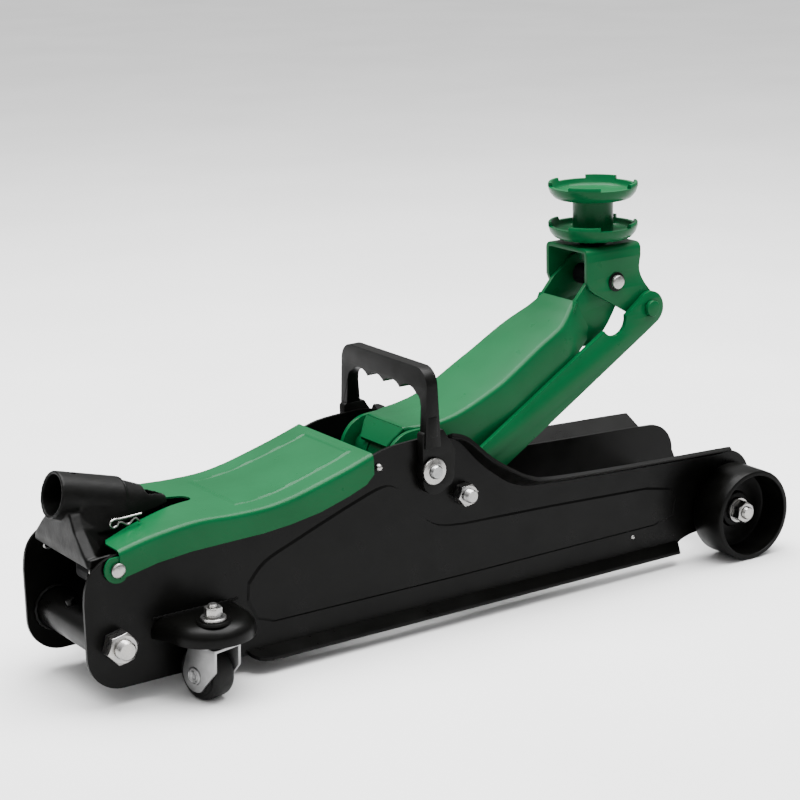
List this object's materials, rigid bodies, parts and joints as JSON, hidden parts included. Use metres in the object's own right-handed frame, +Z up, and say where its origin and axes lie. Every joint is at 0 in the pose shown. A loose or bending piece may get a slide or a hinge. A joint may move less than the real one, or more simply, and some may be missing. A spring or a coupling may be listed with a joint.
{
  "type": "hydraulic floor jack",
  "caption": "Low-profile hydraulic floor jack with a parallelogram lift arm, turning saddle with a lift-off extension, handle socket, bail carry handle and swivel rear casters.",
  "frame": {"origin": "centre of the bounding box in plan, on the floor under the wheels", "axes": "+X forward from the handle socket to the front wheels, +Y to the jack's left, +Z up"},
  "size_m": [0.7076, 0.224, 0.3559],
  "materials": {
    "anchor_bolt_left": "zinc-plated steel",
    "anchor_bolt_right": "zinc-plated steel",
    "anchor_nut_left": "zinc-plated steel",
    "anchor_nut_right": "zinc-plated steel",
    "arm_shaft": "bright ground steel",
    "arm_shaft_collar_left": "zinc-plated steel",
    "arm_shaft_collar_right": "zinc-plated steel",
    "carry_handle": "moulded black plastic",
    "caster_bolt_left": "zinc-plated steel",
    "caster_bolt_right": "zinc-plated steel",
    "caster_bracket_left": "satin black enamel",
    "caster_bracket_right": "satin black enamel",
    "caster_fork_left": "zinc-plated steel",
    "caster_fork_right": "zinc-plated steel",
    "caster_wheel_left": "black nylon tread",
    "caster_wheel_right": "black nylon tread",
    "cover": "gloss green enamel",
    "cover_screw_left": "zinc-plated steel",
    "cover_screw_right": "zinc-plated steel",
    "crank_pin": "bright ground steel",
    "filler_plug": "black rubber",
    "front_axle": "zinc-plated steel",
    "front_nut_left": "zinc-plated steel",
    "front_nut_right": "zinc-plated steel",
    "front_washer_left": "zinc-plated steel",
    "front_washer_right": "zinc-plated steel",
    "front_wheel_left": "moulded black plastic",
    "front_wheel_right": "moulded black plastic",
    "handle_socket": "satin black enamel",
    "hinge_clip_left": "zinc-plated steel",
    "hinge_clip_right": "zinc-plated steel",
    "hinge_pin_left": "zinc-plated steel",
    "hinge_pin_right": "zinc-plated steel",
    "lift_arm": "gloss green enamel",
    "lift_cylinder": "bright ground steel",
    "oil_tank": "satin black enamel",
    "pin_sleeve": "dark cast iron",
    "plunger_spring": "zinc-plated steel",
    "pump_block": "dark cast iron",
    "pump_plunger": "bright ground steel",
    "pump_roller": "bright ground steel",
    "radius_rod_left": "gloss green enamel",
    "radius_rod_right": "gloss green enamel",
    "ram_head": "dark cast iron",
    "ram_rod": "bright ground steel",
    "rear_axle_rod": "zinc-plated steel",
    "rear_cross_tube": "satin black enamel",
    "rear_nut_left": "zinc-plated steel",
    "rear_nut_right": "zinc-plated steel",
    "release_spindle": "zinc-plated steel",
    "return_spring_left": "zinc-plated steel",
    "return_spring_right": "zinc-plated steel",
    "rod_pin_left": "gloss green enamel",
    "rod_pin_right": "gloss green enamel",
    "saddle": "gloss green enamel",
    "saddle_bracket": "gloss green enamel",
    "saddle_extension": "gloss green enamel",
    "saddle_pin": "zinc-plated steel",
    "side_plate_left": "satin black enamel",
    "side_plate_right": "satin black enamel"
  },
  "bodies": {
    "chassis": {"side_plate_right": "side_plate_right", "side_plate_left": "side_plate_left", "rear_nut_right": "rear_nut_right", "rear_nut_left": "rear_nut_left", "front_washer_right": "front_washer_right", "front_washer_left": "front_washer_left", "front_nut_right": "front_nut_right", "front_nut_left": "front_nut_left", "arm_shaft_collar_right": "arm_shaft_collar_right", "arm_shaft_collar_left": "arm_shaft_collar_left", "anchor_bolt_right": "anchor_bolt_right", "anchor_bolt_left": "anchor_bolt_left", "anchor_nut_right": "anchor_nut_right", "anchor_nut_left": "anchor_nut_left", "caster_bracket_right": "caster_bracket_right", "caster_bracket_left": "caster_bracket_left", "caster_bolt_right": "caster_bolt_right", "caster_bolt_left": "caster_bolt_left", "hinge_pin_right": "hinge_pin_right", "hinge_pin_left": "hinge_pin_left", "hinge_clip_right": "hinge_clip_right", "hinge_clip_left": "hinge_clip_left", "cover_screw_right": "cover_screw_right", "cover_screw_left": "cover_screw_left", "return_spring_right": "return_spring_right", "return_spring_left": "return_spring_left", "rear_cross_tube": "rear_cross_tube", "rear_axle_rod": "rear_axle_rod", "front_axle": "front_axle", "arm_shaft": "arm_shaft", "cover": "cover", "carry_handle": "carry_handle", "pump_block": "pump_block", "oil_tank": "oil_tank", "lift_cylinder": "lift_cylinder", "filler_plug": "filler_plug", "plunger_spring": "plunger_spring"},
    "socket": {"handle_socket": "handle_socket", "pump_roller": "pump_roller"},
    "plunger": {"pump_plunger": "pump_plunger"},
    "spindle": {"release_spindle": "release_spindle"},
    "ram": {"ram_rod": "ram_rod", "ram_head": "ram_head"},
    "arm": {"lift_arm": "lift_arm", "crank_pin": "crank_pin", "saddle_pin": "saddle_pin", "pin_sleeve": "pin_sleeve"},
    "rod_right": {"radius_rod_right": "radius_rod_right"},
    "rod_left": {"radius_rod_left": "radius_rod_left"},
    "bracket": {"saddle_bracket": "saddle_bracket", "rod_pin_right": "rod_pin_right", "rod_pin_left": "rod_pin_left"},
    "saddle": {"saddle": "saddle"},
    "extension": {"saddle_extension": "saddle_extension"},
    "front_wheel_right": {"front_wheel_right": "front_wheel_right"},
    "front_wheel_left": {"front_wheel_left": "front_wheel_left"},
    "fork_right": {"caster_fork_right": "caster_fork_right"},
    "fork_left": {"caster_fork_left": "caster_fork_left"},
    "caster_wheel_right": {"caster_wheel_right": "caster_wheel_right"},
    "caster_wheel_left": {"caster_wheel_left": "caster_wheel_left"}
  },
  "joints": [
    {"name": "handle_pump", "type": "hinge", "parent": "chassis", "child": "socket", "pos_m": [-0.3237, 0, 0.115], "axis": [0, 1, 0], "range_deg": [0, 24]},
    {"name": "plunger_slide", "type": "slide", "parent": "chassis", "child": "plunger", "axis": [1, 0, 0], "range_m": [-0.0086, 0.0002], "deforming": ["plunger_spring"]},
    {"name": "release_turn", "type": "hinge", "parent": "chassis", "child": "spindle", "pos_m": [-0.2637, 0, 0.074], "axis": [1, 0, 0], "range_deg": [0, 180]},
    {"name": "arm_lift", "type": "hinge", "parent": "chassis", "child": "arm", "pos_m": [-0.026, 0, 0.1415], "axis": [0, -1, 0], "range_deg": [-50.5, 22]},
    {"name": "ram_slide", "type": "slide", "parent": "chassis", "child": "ram", "axis": [1, 0, 0], "range_m": [-0.0405, 0.018], "deforming": ["return_spring_right", "return_spring_left"]},
    {"name": "bracket_level", "type": "hinge", "parent": "arm", "child": "bracket", "pos_m": [0.2018, 0, 0.26798], "axis": [0, -1, 0], "range_deg": [-22.5, 51]},
    {"name": "saddle_turn", "type": "hinge", "parent": "bracket", "child": "saddle", "pos_m": [0.1992, 0, 0.3201], "axis": [0, 0, 1], "continuous": true},
    {"name": "extension_lift", "type": "slide", "parent": "saddle", "child": "extension", "axis": [0, 0, 1], "range_m": [0, 0.02]},
    {"name": "rod_swing_right", "type": "hinge", "parent": "chassis", "child": "rod_right", "pos_m": [0.01, -0.0482, 0.113], "axis": [0, -1, 0], "range_deg": [-51, 22.5]},
    {"name": "front_wheel_spin_right", "type": "hinge", "parent": "chassis", "child": "front_wheel_right", "pos_m": [0.3112, -0.079, 0.0426], "axis": [0, 1, 0], "continuous": true},
    {"name": "caster_swivel_right", "type": "hinge", "parent": "chassis", "child": "fork_right", "pos_m": [-0.2577, -0.091, 0.05], "axis": [0, 0, 1], "continuous": true},
    {"name": "caster_wheel_spin_right", "type": "hinge", "parent": "fork_right", "child": "caster_wheel_right", "pos_m": [-0.25985, -0.08123, 0.022], "axis": [-0.9767, -0.2147, 0], "continuous": true},
    {"name": "rod_swing_left", "type": "hinge", "parent": "chassis", "child": "rod_left", "pos_m": [0.01, 0.0482, 0.113], "axis": [0, -1, 0], "range_deg": [-51, 22.5]},
    {"name": "front_wheel_spin_left", "type": "hinge", "parent": "chassis", "child": "front_wheel_left", "pos_m": [0.3112, 0.079, 0.0426], "axis": [0, 1, 0], "continuous": true},
    {"name": "caster_swivel_left", "type": "hinge", "parent": "chassis", "child": "fork_left", "pos_m": [-0.2577, 0.091, 0.05], "axis": [0, 0, 1], "continuous": true},
    {"name": "caster_wheel_spin_left", "type": "hinge", "parent": "fork_left", "child": "caster_wheel_left", "pos_m": [-0.25985, 0.08123, 0.022], "axis": [0.9767, -0.2147, 0], "continuous": true}
  ],
  "couplings": [
    {"joint": "plunger_slide", "follows": "handle_pump", "m_per_rad": -0.02},
    {"joint": "ram_slide", "follows": "arm_lift", "m_per_rad": 0.0455},
    {"joint": "bracket_level", "follows": "arm_lift", "ratio": -1},
    {"joint": "rod_swing_right", "follows": "arm_lift", "ratio": 1},
    {"joint": "rod_swing_left", "follows": "arm_lift", "ratio": 1}
  ]
}
